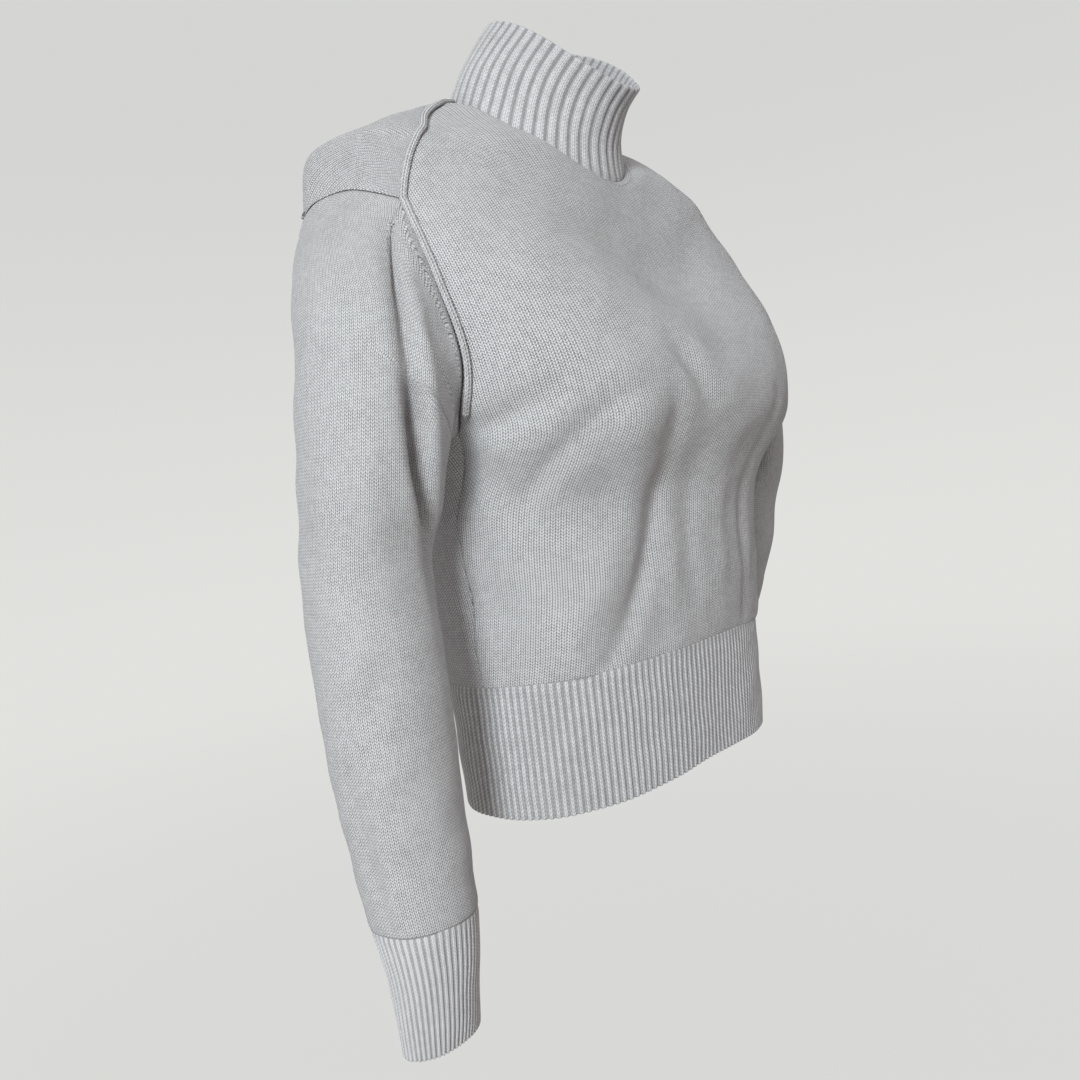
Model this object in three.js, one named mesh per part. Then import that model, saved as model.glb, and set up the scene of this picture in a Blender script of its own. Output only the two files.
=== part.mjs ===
// A mock neck sweater, knitted in panels and linked together, in the hollow form it has when worn.
// Millimetres, +Z up. The front faces -Y and the wearer's right arm is at -X.
// The origin is in the middle of the neck base, where the wearer's neck and shoulders hold it up.
import * as THREE from 'three';

// ---- driving sizes ----
const clothWall = 2.4; // thickness of the knit
const seamGap = 0.3; // space left between two pieces at a seam
const ridge = { halfWidth: 3.1, halfHeight: 1.9, clear: 0.55, corners: 8, hiddenSteps: 2 };
const colours = { plain: 0xc3c6c9, rib: 0xbabdc0 };

// One section per row, from the top down. zFront, zSide and zBack are the heights of the section at
// those places, halfWidth and halfDepth its half sizes and centreY its middle. A square of 2 is an oval.
const tubeColumns = [
  'name', 'zFront', 'zSide', 'zBack', 'halfWidth', 'halfDepth', 'centreY', 'squareFront', 'squareBack',
];
const neckSections = table(
  tubeColumns,
  ['top edge', -6, 53, 74, 56, 60, -34, 2, 2],
  ['neck middle', -19, 41, 60, 59, 61, -17, 2, 2],
  ['above the seam', -40, 26, 44, 65, 62, -5, 2, 2],
  ['neck seam', -67, 0, 28, 71, 70, 4, 1.95, 2],
);
const bodySections = table(
  tubeColumns,
  ['neck seam', -67, 0, 28, 71, 70, 4, 1.95, 2],
  ['collar bone', -76, -4, 4, 108, 82, 8, 2.1, 2.3],
  ['shoulder slope', -112, -32, -38, 176, 98, 11, 2.1, 2.7],
  ['shoulder tip', -160, -56, -72, 202, 112, 8, 2.0, 3.4],
  ['armhole middle', -212, -150, -157, 206, 140, -8, 2.3, 3.5],
  ['underarm', -258, -255, -240, 186, 141, -20, 2.4, 2.6],
  ['under the chest', -322, -320, -318, 168, 120, -6, 2.3, 2.4],
  ['waist', -390, -391, -392, 163, 115, -3, 2.3, 2.3],
  ['rib seam', -438, -446, -449, 155, 107, -4, 2.3, 2.3],
);
const hemSections = table(
  tubeColumns,
  ['rib seam', -438, -446, -449, 155, 107, -4, 2.3, 2.3],
  ['hem edge', -531, -543, -538, 157, 98, -5, 2.3, 2.3],
);

// The sleeves, from the top down: each section is an oval about (-x, y) on the wearer's right, or
// (x, y) on the left, at height z. Its outer side is higher by rise and its back by riseBack. The
// right sleeve hangs straight down, and the left one hangs back and in behind the body.
const sleeveColumns = ['name', 'z', 'x', 'y', 'halfAcross', 'halfDepth', 'rise', 'riseBack'];
const rightSleeve = table(
  sleeveColumns,
  ['upper arm', -235, 233, -17, 42, 54, 40, 0],
  ['below the armhole', -297, 239, -9, 45, 49, 14, 0],
  ['above the elbow', -340, 241, 2, 44, 44, 4, 0],
  ['elbow', -395, 243, 1, 45, 44, 0, 0],
  ['forearm', -462, 243, 1, 44, 44, 0, 0],
  ['lower forearm', -518, 243, -3, 41, 40, 0, 0],
  ['cuff seam', -578, 243, -8, 37, 36, 0, 0],
);
const rightCuff = table(
  sleeveColumns,
  ['cuff seam', -578, 243, -8, 37, 36, 0, 0],
  ['cuff middle', -616, 243, -11, 33, 28, 0, 0],
  ['cuff edge', -664, 243, -9, 31, 19, 0, 0],
);
const leftSleeve = table(
  sleeveColumns,
  ['upper arm', -235, 233, -17, 42, 54, 40, 0],
  ['below the armhole', -297, 242, -12, 45, 49, 14, 5],
  ['above the elbow', -340, 247, -1, 44, 44, 4, 8],
  ['elbow', -393, 248, 12, 45, 42, 2, 11],
  ['forearm', -456, 243, 36, 44, 41, 4, 14],
  ['lower forearm', -511, 232, 66, 41, 37, 6, 15],
  ['cuff seam', -568, 215, 102, 37, 33, 7, 15],
);
const leftCuff = table(
  sleeveColumns,
  ['cuff seam', -568, 215, 102, 37, 33, 7, 15],
  ['cuff middle', -604, 203, 124, 33, 26, 6, 12],
  ['cuff edge', -648, 187, 152, 31, 18, 6, 8],
);

// Seam lines on the body, on the wearer's right. level counts the body sections from the neck seam,
// and degrees go round from the middle of the front to the side (90) and the middle of the back (180).
const seamColumns = ['level', 'degrees'];
const sideSeam = table(seamColumns, [8, 90], [7, 89], [6, 87], [5.05, 84]);
const frontArmhole = table(seamColumns, [5.05, 84], [4.55, 76.5], [4, 76.2], [3.45, 79]);
const shoulderSeam = table(
  seamColumns,
  [3.45, 79], [2.7, 75.6], [2, 76.3], [1.2, 85], [0.55, 99], [0, 116],
);
const backArmhole = table(
  seamColumns,
  [3.45, 79], [3.4, 85], [3.36, 91], [3.36, 98], [3.38, 105], [3.46, 113],
  [3.7, 117.5], [4.1, 116.5], [4.55, 111], [4.85, 103], [5, 93], [5.05, 84],
);

// How the sleeve leaves the armhole: a little outwards at the top, more and more so on the way down, and folded back under the arm. Both are shares of one direction.
const sleeveStart = table(
  ['name', 'alongBody', 'outwards'],
  ['top', 1, 0.3],
  ['front and back', 0.5, 0.85],
  ['underarm', -0.8, 0.6],
);
const sleevePull = { start: 0.62, end: 1 }; // how long each end of that curve keeps its direction
const evenOver = 0.5; // how far round, in radians, neighbours even out their directions

// Steps from one end of each seam line to the other, and across and along the pieces.
const steps = { side: 6, front: 10, shoulder: 10, back: 18, across: 16, loft: 6, sleeve: 8, rib: 3, cuff: 2 };

// On the back a row of the panel crosses the middle at this level while its ends climb the seams.
const backCrossing = table(
  ['name', 'level'],
  ['rib seam', 8], ['underarm', 5.7], ['shoulder tip', 2.4], ['neck seam', 0],
);

// Largest folds. Each runs between two places of its surface; a depth below 0 is a trough.
const foldColumns = ['name', 'fromDegrees', 'fromLevel', 'toDegrees', 'toLevel', 'halfWidth', 'depth'];
const bodyFolds = table(
  foldColumns,
  ['chest to right hip', -14, 5.2, 22, 7.5, 26, -6],
  ['beside it', 20, 5.9, 40, 7.6, 24, 4],
  ['right side', 74, 5.4, 62, 6.9, 20, -5],
  ['left side', -72, 5.5, -64, 7.1, 20, -5],
  ['small of the back', 196, 5.6, 212, 7.4, 26, -4],
  ['back, right', 160, 5.9, 146, 7.5, 24, -4],
);
const sleeveFolds = table(
  foldColumns,
  ['front trough', 302, -0.6, 262, 1.1, 13, -8],
  ['end of the trough', 262, 1.1, 240, 2.2, 13, -4],
  ['front roll', 268, -0.5, 238, 0.6, 11, 3],
  ['back trough', 62, -0.5, 98, 1, 15, -5],
);
const bodyScale = { radian: 150, level: 62 }; // millimetres for a radian and a level, for the folds
const sleeveScale = { radian: 46, level: 62 };

function table(columns, ...rows) {
  return rows.map((row) => Object.fromEntries(columns.map((column, i) => [column, row[i]])));
}

// ---- curves and surfaces ----

// A smooth row between the rows of a table, at a level that counts them from 0.
function rowAt(rows, level) {
  const last = rows.length - 1;
  const i = THREE.MathUtils.clamp(Math.floor(level), 0, last - 1);
  const u = level - i;
  const near = [Math.max(i - 1, 0), i, i + 1, Math.min(i + 2, last)].map((k) => rows[k]);
  const row = {};
  for (const column of Object.keys(rows[0]).filter((name) => name !== 'name')) {
    const [a, b, c, d] = near.map((each) => each[column]);
    const bend = 2 * a - 5 * b + 4 * c - d;
    const twist = 3 * b - a - 3 * c + d;
    row[column] = b + 0.5 * ((c - a) * u + bend * u * u + twist * u ** 3);
  }
  return row;
}

// A point of an upright tube: angle 0 is the middle of its front, a quarter turn the side at -X.
function tubePoint(sections, angle, level) {
  const row = rowAt(sections, level);
  const [s, c] = [Math.sin(angle), Math.cos(angle)];
  const square = c > 0 ? row.squareFront : row.squareBack;
  const across = Math.abs(s / row.halfWidth) ** square;
  const along = Math.abs(c / row.halfDepth) ** square;
  const reach = (across + along) ** (-1 / square);
  const tilt = (row.zFront - row.zBack) / 2;
  const bow = (row.zFront + row.zBack) / 2 - row.zSide;
  return new THREE.Vector3(-reach * s, row.centreY - reach * c, row.zSide + tilt * c + bow * c * c);
}

// A point of the right sleeve: angle 0 is its outer side, a quarter turn its back.
function sleevePoint(sections, angle, level) {
  const row = rowAt(sections, level);
  return new THREE.Vector3(
    -row.x - row.halfAcross * Math.cos(angle),
    row.y + row.halfDepth * Math.sin(angle),
    row.z + row.rise * Math.cos(angle) + row.riseBack * Math.sin(angle),
  );
}

// The outward direction of a surface point(angle, level) whose level grows downwards.
function outward(point, angle, level) {
  const small = 1e-3;
  const round = point(angle + small, level).sub(point(angle - small, level));
  const down = point(angle, level + small).sub(point(angle, level - small));
  return round.cross(down).normalize();
}

// How far the folds move the cloth outwards at a place: each is a soft ridge or trough about its line.
function foldHeight(folds, scale, angle, level) {
  const flat = (a, l) => new THREE.Vector2(a * scale.radian, l * scale.level);
  let height = 0;
  for (const fold of folds) {
    const from = flat(THREE.MathUtils.degToRad(fold.fromDegrees), fold.fromLevel);
    const run = flat(THREE.MathUtils.degToRad(fold.toDegrees), fold.toLevel).sub(from);
    const away = [-1, 0, 1].map((turns) => {
      const place = flat(angle + turns * 2 * Math.PI, level).sub(from);
      const along = THREE.MathUtils.clamp(place.dot(run) / run.lengthSq(), 0, 1);
      return place.addScaledVector(run, -along).length();
    });
    height += fold.depth * Math.exp(-((Math.min(...away) / fold.halfWidth) ** 2));
  }
  return height;
}

const neckPoint = (angle, level) => tubePoint(neckSections, angle, level);
const hemPoint = (angle, level) => tubePoint(hemSections, angle, level);
const smoothBody = (angle, level) => tubePoint(bodySections, angle, level);
const bodyPoint = (angle, level) => smoothBody(angle, level).addScaledVector(
  outward(smoothBody, angle, level),
  foldHeight(bodyFolds, bodyScale, angle, level),
);
const lastNeck = neckSections.length - 1;
const lastBody = bodySections.length - 1;
const lastSleeve = rightSleeve.length - 1;

// The way out of the cloth, as long as the wall is thick for each millimetre of it: where the body
// meets a rib both end on the plane halfway between them, so it is shared and longer there.
const mitre = (a, b) => a.clone().add(b).divideScalar(1 + a.dot(b));
const neckSeamOut = (angle) => mitre(outward(neckPoint, angle, lastNeck), outward(bodyPoint, angle, 0));
const hemSeamOut = (angle) => mitre(outward(bodyPoint, angle, lastBody), outward(hemPoint, angle, 0));
function bodyOut(angle, level) {
  if (level < 1e-6) return neckSeamOut(angle);
  if (level > lastBody - 1e-6) return hemSeamOut(angle);
  return outward(bodyPoint, angle, level);
}

// ---- seam lines ----

// Places along a seam: where it is on the body, and the way out of the cloth there.
function seamLine(rows, count) {
  return Array.from({ length: count + 1 }, (_, i) => {
    const { level, degrees } = rowAt(rows, (i / count) * (rows.length - 1));
    const angle = THREE.MathUtils.degToRad(degrees);
    return { angle, level, point: bodyPoint(angle, level), out: bodyOut(angle, level) };
  });
}

// Joins lines end to end without their doubled places.
const joinLines = (...parts) => parts.flatMap((line, i) => (i ? line.slice(1) : line));

// Adds to each place of a line the way that lies in the cloth, to the left of the line seen from
// outside, and how far along it a place is 1 mm from the line on both sides of a corner.
function withSideways(line, closed = false) {
  const count = line.length;
  const next = (i, step) => (closed ? line[(i + step + count) % count] : line[i + step]);
  return line.map((place, i) => {
    const pairs = [[next(i, -1), place], [place, next(i, 1)]].filter(([a, b]) => a && b);
    const ways = pairs.map(([a, b]) => place.out.clone().cross(b.point.clone().sub(a.point)).normalize());
    const sideways = ways.reduce((sum, way) => sum.add(way), new THREE.Vector3()).normalize();
    return { ...place, sideways, corner: 1 / Math.max(sideways.dot(ways[ways.length - 1]), 0.35) };
  });
}

const lines = {
  side: seamLine(sideSeam, steps.side),
  front: seamLine(frontArmhole, steps.front),
  shoulder: seamLine(shoulderSeam, steps.shoulder),
  back: seamLine(backArmhole, steps.back),
};
const frontEdge = withSideways(joinLines(lines.side, lines.front, lines.shoulder));
const backEdge = withSideways(joinLines(lines.side, [...lines.back].reverse(), lines.shoulder));
const armhole = withSideways(joinLines(lines.back, lines.front).slice(0, -1), true);

// ---- solids ----

// A closed mesh with its faces turned outwards: a negative volume means that they all point in.
function closedGeometry(vertices, faces) {
  const volume = faces.reduce((sum, [a, b, c]) => (
    sum + vertices[a].dot(vertices[b].clone().cross(vertices[c]))), 0);
  const turned = volume > 0 ? faces : faces.map(([a, b, c]) => [a, c, b]);
  const geometry = new THREE.BufferGeometry().setFromPoints(vertices);
  geometry.setIndex(turned.flat());
  geometry.computeVertexNormals();
  return geometry;
}

// The two triangles between four corners in order.
const quad = (a, b, c, d) => [[a, b, c], [a, c, d]];

// A wall of cloth between an outer and an inner grid of points. round joins its last column to its
// first, as on a sleeve.
function wallGeometry({ outer, inner, round }) {
  const columns = outer[0].length;
  const end = outer.length - 1;
  const side = round ? columns : columns - 1;
  const out = (i, j) => i * columns + (j % columns);
  const under = (i, j) => outer.length * columns + out(i, j);
  const faces = [];
  for (let j = 0; j < side; j += 1) {
    for (let i = 0; i < end; i += 1) {
      faces.push(...quad(out(i, j), out(i, j + 1), out(i + 1, j + 1), out(i + 1, j)));
      faces.push(...quad(under(i, j), under(i + 1, j), under(i + 1, j + 1), under(i, j + 1)));
    }
    faces.push(...quad(out(0, j), under(0, j), under(0, j + 1), out(0, j + 1)));
    faces.push(...quad(out(end, j), out(end, j + 1), under(end, j + 1), under(end, j)));
  }
  for (let i = 0; i < end && !round; i += 1) {
    faces.push(...quad(out(i, 0), out(i + 1, 0), under(i + 1, 0), under(i, 0)));
    faces.push(...quad(out(i, side), under(i, side), under(i + 1, side), out(i + 1, side)));
  }
  return closedGeometry([...outer.flat(), ...inner.flat()], faces);
}

// A rod through rings of points, closed at both ends.
function rodGeometry(rings) {
  const columns = rings[0].length;
  const end = rings.length - 1;
  const at = (i, j) => i * columns + (j % columns);
  const faces = [];
  for (let j = 0; j < columns; j += 1) {
    for (let i = 0; i < end; i += 1) {
      faces.push(...quad(at(i, j), at(i, j + 1), at(i + 1, j + 1), at(i + 1, j)));
    }
  }
  for (let j = 1; j < columns - 1; j += 1) {
    faces.push([at(0, 0), at(0, j + 1), at(0, j)], [at(end, 0), at(end, j), at(end, j + 1)]);
  }
  return closedGeometry(rings.flat(), faces);
}

// The same points on the wearer's other side.
const mirrored = (rows) => rows.map((row) => row.map((p) => new THREE.Vector3(-p.x, p.y, p.z)));

// ---- the pieces ----

// A panel from its edge on the wearer's right to the same edge on the left, about a middle angle.
// Row i crosses the middle at crossing[i], and the edge is moved off the seam towards the panel.
function panelWall(edge, middle, crossing, towardsPanel) {
  const outer = [];
  const inner = [];
  edge.forEach((place, i) => {
    const row = [];
    const rowUnder = [];
    for (let j = 1; j < steps.across; j += 1) {
      const u = (2 * j) / steps.across - 1;
      const angle = middle + u * (middle - place.angle);
      const level = crossing[i] + (place.level - crossing[i]) * u * u;
      const point = bodyPoint(angle, level);
      row.push(point);
      rowUnder.push(point.clone().addScaledVector(bodyOut(angle, level), -clothWall));
    }
    const atRib = i === 0 || i === edge.length - 1;
    const way = atRib
      ? row[0].clone().sub(place.point).normalize()
      : place.sideways.clone().multiplyScalar(towardsPanel * place.corner);
    const end = place.point.clone().addScaledVector(way, seamGap / 2);
    const endUnder = end.clone().addScaledVector(place.out, -clothWall);
    outer.push([end, ...row, ...mirrored([[end]])[0]]);
    inner.push([endUnder, ...rowUnder, ...mirrored([[endUnder]])[0]]);
  });
  return { outer, inner, round: false };
}

// Angles round the body at the ends of the columns of both panels, for the rib that joins them.
function ringAngles(seamAngle) {
  const evenly = (from, to) => Array.from(
    { length: steps.across },
    (_, i) => from + ((to - from) * i) / steps.across,
  );
  return [...evenly(-seamAngle, seamAngle), ...evenly(seamAngle, 2 * Math.PI - seamAngle)];
}

// A rib round the body. Its row at seamLevel follows the edge of the panels, a gap away from them.
function ribWall(point, lastLevel, angles, seamLevel, seamOut, gap) {
  const outer = [];
  const inner = [];
  for (let i = 0; i <= steps.rib; i += 1) {
    const level = (i / steps.rib) * lastLevel;
    const atSeam = level === seamLevel;
    outer.push(angles.map((angle) => {
      const p = point(angle, level);
      return atSeam ? p.setZ(p.z + gap) : p;
    }));
    inner.push(outer[i].map((p, j) => p.clone().addScaledVector(
      atSeam ? seamOut(angles[j]) : outward(point, angles[j], level),
      -clothWall,
    )));
  }
  return { outer, inner, round: true };
}

// The sleeve's angle at each place of the armhole, by its share of the way round from the underarm.
const armholeLengths = armhole.map((place, i) => (
  place.point.distanceTo(armhole[(i + 1) % armhole.length].point)));
const armholeRound = armholeLengths.reduce((sum, length) => sum + length, 0);
const toUnderarm = armholeLengths.slice(0, steps.back).reduce((sum, length) => sum + length, 0);
const sleeveAngles = armhole.map((_, i) => {
  const run = armholeLengths.slice(0, i).reduce((sum, length) => sum + length, 0);
  return Math.PI + (2 * Math.PI * (run - toUnderarm)) / armholeRound;
});

// The directions in which the sleeve leaves the armhole. Each is evened out over its neighbours with
// a bell of weights, so that lines that leave a corner don't cross.
const leavingWays = armhole.map((place, i) => {
  const share = rowAt(sleeveStart, 1 - Math.cos(sleeveAngles[i]));
  return place.sideways.clone().normalize().multiplyScalar(share.alongBody)
    .addScaledVector(place.out, share.outwards).normalize();
}).map((_, i, ways) => ways.reduce((sum, way, k) => {
  const apart = Math.abs(sleeveAngles[i] - sleeveAngles[k]);
  const gap = Math.min(apart, Math.abs(2 * Math.PI - apart));
  return sum.addScaledVector(way, Math.exp(-((gap / evenOver) ** 2)));
}, new THREE.Vector3()).normalize());

// A place on the curve from the armhole to the first section of the sleeve, at t from 0 to 1.
function shoulderCurve(sections, i, t) {
  const place = armhole[i];
  const angle = sleeveAngles[i];
  const start = place.point.clone().addScaledVector(place.sideways, place.corner * (seamGap / 2));
  const end = sleevePoint(sections, angle, 0);
  const endWay = sleevePoint(sections, angle, 0.01).sub(end).normalize();
  const length = start.distanceTo(end);
  return new THREE.Vector3()
    .addScaledVector(start, 2 * t ** 3 - 3 * t ** 2 + 1)
    .addScaledVector(leavingWays[i], (t ** 3 - 2 * t ** 2 + t) * length * sleevePull.start)
    .addScaledVector(end, 3 * t ** 2 - 2 * t ** 3)
    .addScaledVector(endWay, (t ** 3 - t ** 2) * length * sleevePull.end);
}

// Outward directions over a round grid of points, from the neighbours of each.
function gridOut(grid) {
  const columns = grid[0].length;
  return grid.map((row, i) => row.map((_, j) => {
    const round = row[(j + 1) % columns].clone().sub(row[(j + columns - 1) % columns]);
    const down = grid[Math.min(i + 1, grid.length - 1)][j].clone().sub(grid[Math.max(i - 1, 0)][j]);
    return round.cross(down).normalize();
  }));
}

// Moves points of a grid along its outward directions.
const movedGrid = (grid, amount) => {
  const out = gridOut(grid);
  return grid.map((row, i) => row.map((p, j) => p.clone().addScaledVector(out[i][j], amount(i, j))));
};

// The arm in one sheet: levels from -1 at the armhole to 0 at the sleeve's first section and down its
// sections, then the cuff. The sleeve and the cuff part at the cuff seam, a gap from each other.
function armWalls(sections, cuffSections) {
  const levels = [
    ...Array.from({ length: steps.loft }, (_, i) => i / steps.loft - 1),
    ...Array.from({ length: steps.sleeve + 1 }, (_, i) => (i / steps.sleeve) * lastSleeve),
  ];
  const cuffLevels = Array.from({ length: steps.cuff }, (_, i) => (2 * (i + 1)) / steps.cuff);
  const smooth = [
    ...levels.map((level) => sleeveAngles.map((angle, j) => (
      level < 0 ? shoulderCurve(sections, j, level + 1) : sleevePoint(sections, angle, level)))),
    ...cuffLevels.map((level) => sleeveAngles.map((angle) => sleevePoint(cuffSections, angle, level))),
  ];
  const folded = (i, j) => (i > 0 && i < levels.length
    ? foldHeight(sleeveFolds, sleeveScale, sleeveAngles[j], levels[i]) : 0);
  const outer = movedGrid(smooth, folded);
  const inner = movedGrid(outer, () => -clothWall);
  const seam = levels.length - 1;
  const lower = (row) => row.map((p) => p.clone().setZ(p.z - seamGap));
  const below = (rows) => [lower(rows[seam]), ...rows.slice(seam + 1)];
  return {
    sleeve: { outer: outer.slice(0, seam + 1), inner: inner.slice(0, seam + 1), round: true },
    cuff: { outer: below(outer), inner: below(inner), round: true },
  };
}

// The raised seam from the neck over the shoulder and down the front armhole: a flattened cord that
// rests on the cloth on both sides, so it sits higher where the sleeve rises beside it.
function ridgeRings() {
  const seam = withSideways(joinLines(lines.front.slice(ridge.hiddenSteps), lines.shoulder));
  const sleeveSteps = steps.front - ridge.hiddenSteps;
  return seam.map((place, i) => {
    const out = place.out.clone().normalize();
    const panelWay = place.sideways.clone().negate();
    const k = (steps.back + ridge.hiddenSteps + i) % armhole.length;
    const farWay = i <= sleeveSteps ? leavingWays[k].clone() : place.sideways.clone();
    const opening = panelWay.clone().add(farWay);
    const up = opening.addScaledVector(out, 0.02).normalize();
    const across = out.clone().cross(place.sideways).cross(up).normalize();
    const slope = Math.max(Math.sqrt(1 - up.dot(farWay) ** 2), 0.3);
    const rest = Math.hypot(ridge.halfWidth * up.dot(farWay), ridge.halfHeight * slope);
    const centre = place.point.clone().addScaledVector(up, (rest + ridge.clear) / slope);
    return Array.from({ length: ridge.corners }, (_, j) => {
      const turn = (2 * Math.PI * j) / ridge.corners;
      return centre.clone()
        .addScaledVector(across, ridge.halfWidth * Math.cos(turn))
        .addScaledVector(up, ridge.halfHeight * Math.sin(turn));
    });
  });
}

// ---- the garment ----

const frontLevels = frontEdge.map((place) => place.level);
const backPlaces = [steps.side, steps.side + steps.back, steps.side + steps.back + steps.shoulder];
const backLevels = backEdge.map((_, i) => {
  const part = backPlaces.findIndex((end) => i <= end);
  const from = part ? backPlaces[part - 1] : 0;
  const share = (i - from) / (backPlaces[part] - from);
  return THREE.MathUtils.lerp(backCrossing[part].level, backCrossing[part + 1].level, share);
});

const neckAngles = ringAngles(frontEdge[frontEdge.length - 1].angle);
const hemAngles = ringAngles(frontEdge[0].angle);
const rightArm = armWalls(rightSleeve, rightCuff);
const leftArm = armWalls(leftSleeve, leftCuff);
const otherSide = (wall) => ({ outer: mirrored(wall.outer), inner: mirrored(wall.inner), round: true });
const rings = ridgeRings();

const plainKnit = new THREE.MeshStandardMaterial({
  name: 'plain_knit', color: colours.plain, roughness: 0.95, metalness: 0,
});
const ribKnit = new THREE.MeshStandardMaterial({
  name: 'rib_knit', color: colours.rib, roughness: 0.95, metalness: 0,
});

const pieces = [
  ['front', wallGeometry(panelWall(frontEdge, 0, frontLevels, -1)), plainKnit],
  ['back', wallGeometry(panelWall(backEdge, Math.PI, backLevels, 1)), plainKnit],
  ['sleeve_right', wallGeometry(rightArm.sleeve), plainKnit],
  ['sleeve_left', wallGeometry(otherSide(leftArm.sleeve)), plainKnit],
  ['cuff_right', wallGeometry(rightArm.cuff), ribKnit],
  ['cuff_left', wallGeometry(otherSide(leftArm.cuff)), ribKnit],
  ['neck_rib', wallGeometry(ribWall(neckPoint, lastNeck, neckAngles, lastNeck, neckSeamOut, seamGap)), ribKnit],
  ['hem_rib', wallGeometry(ribWall(hemPoint, 1, hemAngles, 0, hemSeamOut, -seamGap)), ribKnit],
  ['seam_ridge_right', rodGeometry(rings), plainKnit],
  ['seam_ridge_left', rodGeometry(mirrored(rings)), plainKnit],
];

const group = new THREE.Group();
group.name = 'mock_neck_sweater';
for (const [name, geometry, material] of pieces) {
  const mesh = new THREE.Mesh(geometry, material);
  mesh.name = name;
  group.add(mesh);
}

export default group;
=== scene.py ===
import bpy
import numpy as np
from mathutils import Matrix


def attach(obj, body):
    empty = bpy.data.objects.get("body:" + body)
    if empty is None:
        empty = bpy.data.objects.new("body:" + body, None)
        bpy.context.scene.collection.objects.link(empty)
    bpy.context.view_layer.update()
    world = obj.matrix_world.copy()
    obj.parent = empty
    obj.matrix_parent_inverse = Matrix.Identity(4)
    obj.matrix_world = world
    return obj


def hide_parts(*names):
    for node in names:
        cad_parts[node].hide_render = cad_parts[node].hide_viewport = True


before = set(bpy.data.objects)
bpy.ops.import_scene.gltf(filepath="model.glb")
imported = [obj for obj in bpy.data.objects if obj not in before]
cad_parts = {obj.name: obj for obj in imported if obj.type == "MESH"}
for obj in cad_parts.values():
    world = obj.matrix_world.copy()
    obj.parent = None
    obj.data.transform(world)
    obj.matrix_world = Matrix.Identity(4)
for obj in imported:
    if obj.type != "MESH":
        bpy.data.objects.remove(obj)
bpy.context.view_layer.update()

camera = {
    "place": (-0.630, -0.500, -0.306), "azimuth": -48.4, "pitch": -3.0, "roll": -7.6,
    "lens": 31.03, "sensor": 36.0, "clip": (0.02, 60.0),
}


# Turned by azimuth, then pitch, then roll, in degrees: azimuth 0 looks along +Y.
def makeCamera(c):
    a, p, r = np.radians([c["azimuth"], c["pitch"], c["roll"]])
    forward = np.array([-np.sin(a) * np.cos(p), np.cos(a) * np.cos(p), np.sin(p)])
    level = np.array([np.cos(a), np.sin(a), 0.0])
    upright = np.cross(level, forward)
    right = np.cos(r) * level + np.sin(r) * upright
    up = -np.sin(r) * level + np.cos(r) * upright
    lens = bpy.data.cameras.new("camera")
    lens.lens, lens.sensor_width = c["lens"], c["sensor"]
    lens.clip_start, lens.clip_end = c["clip"]
    eye = bpy.data.objects.new("camera", lens)
    bpy.context.collection.objects.link(eye)
    eye.matrix_world = placed(right, up, -forward, c["place"])
    bpy.context.scene.camera = eye
    print("camera placed")


# The matrix whose columns are three axes and a place.
def placed(x, y, z, place):
    turned = np.eye(4)
    turned[:3, :4] = np.array([x, y, z, place]).T
    return Matrix(turned.tolist())


# Places in metres, powers in watts. All four lamps face the garment's middle.
studio = {
    "lamps": {
        "key": {
            "place": (-2.6, -1.15, 0.5), "size": 0.8, "power": 62, "colour": (0.90, 0.96, 1.0),
        },
        "front": {
            "place": (-1.3, -2.6, 0.1), "size": 2.4, "power": 6, "colour": (1.0, 0.98, 0.97),
        },
        "above": {
            "place": (0.3, 0.2, 2.6), "size": 2.6, "power": 15, "colour": (0.97, 0.99, 1.0),
        },
        "behind": {
            "place": (2.0, 2.4, 0.9), "size": 2.6, "power": 60, "colour": (0.97, 0.98, 1.0),
        },
    },
    "aim": (0.0, 0.0, -0.3),
    "sky": {"colour": (1.0, 0.945, 0.92), "strength": 0.26},
}


def makeLamps(lamps, aim):
    for name, look in lamps.items():
        lamp = bpy.data.lights.new(name, "AREA")
        lamp.size, lamp.energy, lamp.color = look["size"], look["power"], look["colour"]
        holder = bpy.data.objects.new(name, lamp)
        bpy.context.collection.objects.link(holder)
        away = unit(np.array(look["place"]) - np.array(aim))
        side = unit(np.cross([0.0, 0.0, 1.0], away))
        holder.matrix_world = placed(side, np.cross(away, side), away, look["place"])


def makeSky(look):
    world = bpy.data.worlds.new("soft studio")
    world.use_nodes = True
    sky = world.node_tree.nodes["Background"]
    sky.inputs["Color"].default_value = (*look["colour"], 1.0)
    sky.inputs["Strength"].default_value = look["strength"]
    bpy.context.scene.world = world
    bpy.context.scene.view_settings.view_transform = "Standard"


# The floor's height and the far wall's rise are in metres. The wall starts at a share of the way
# out, and the glow's stops are shares of the disc's radius.
backdropLook = {
    "radius": 8.0, "floorHeight": -0.80, "wallRise": 7.0, "wallFrom": 0.55,
    "around": 96, "rings": 40,
    "stops": ((0.0, "dim"), (0.30, "bright"), (0.58, "bright"), (0.95, "dim")),
    "bright": (0.755, 0.76, 0.735), "dim": (0.665, 0.67, 0.65),
}


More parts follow.
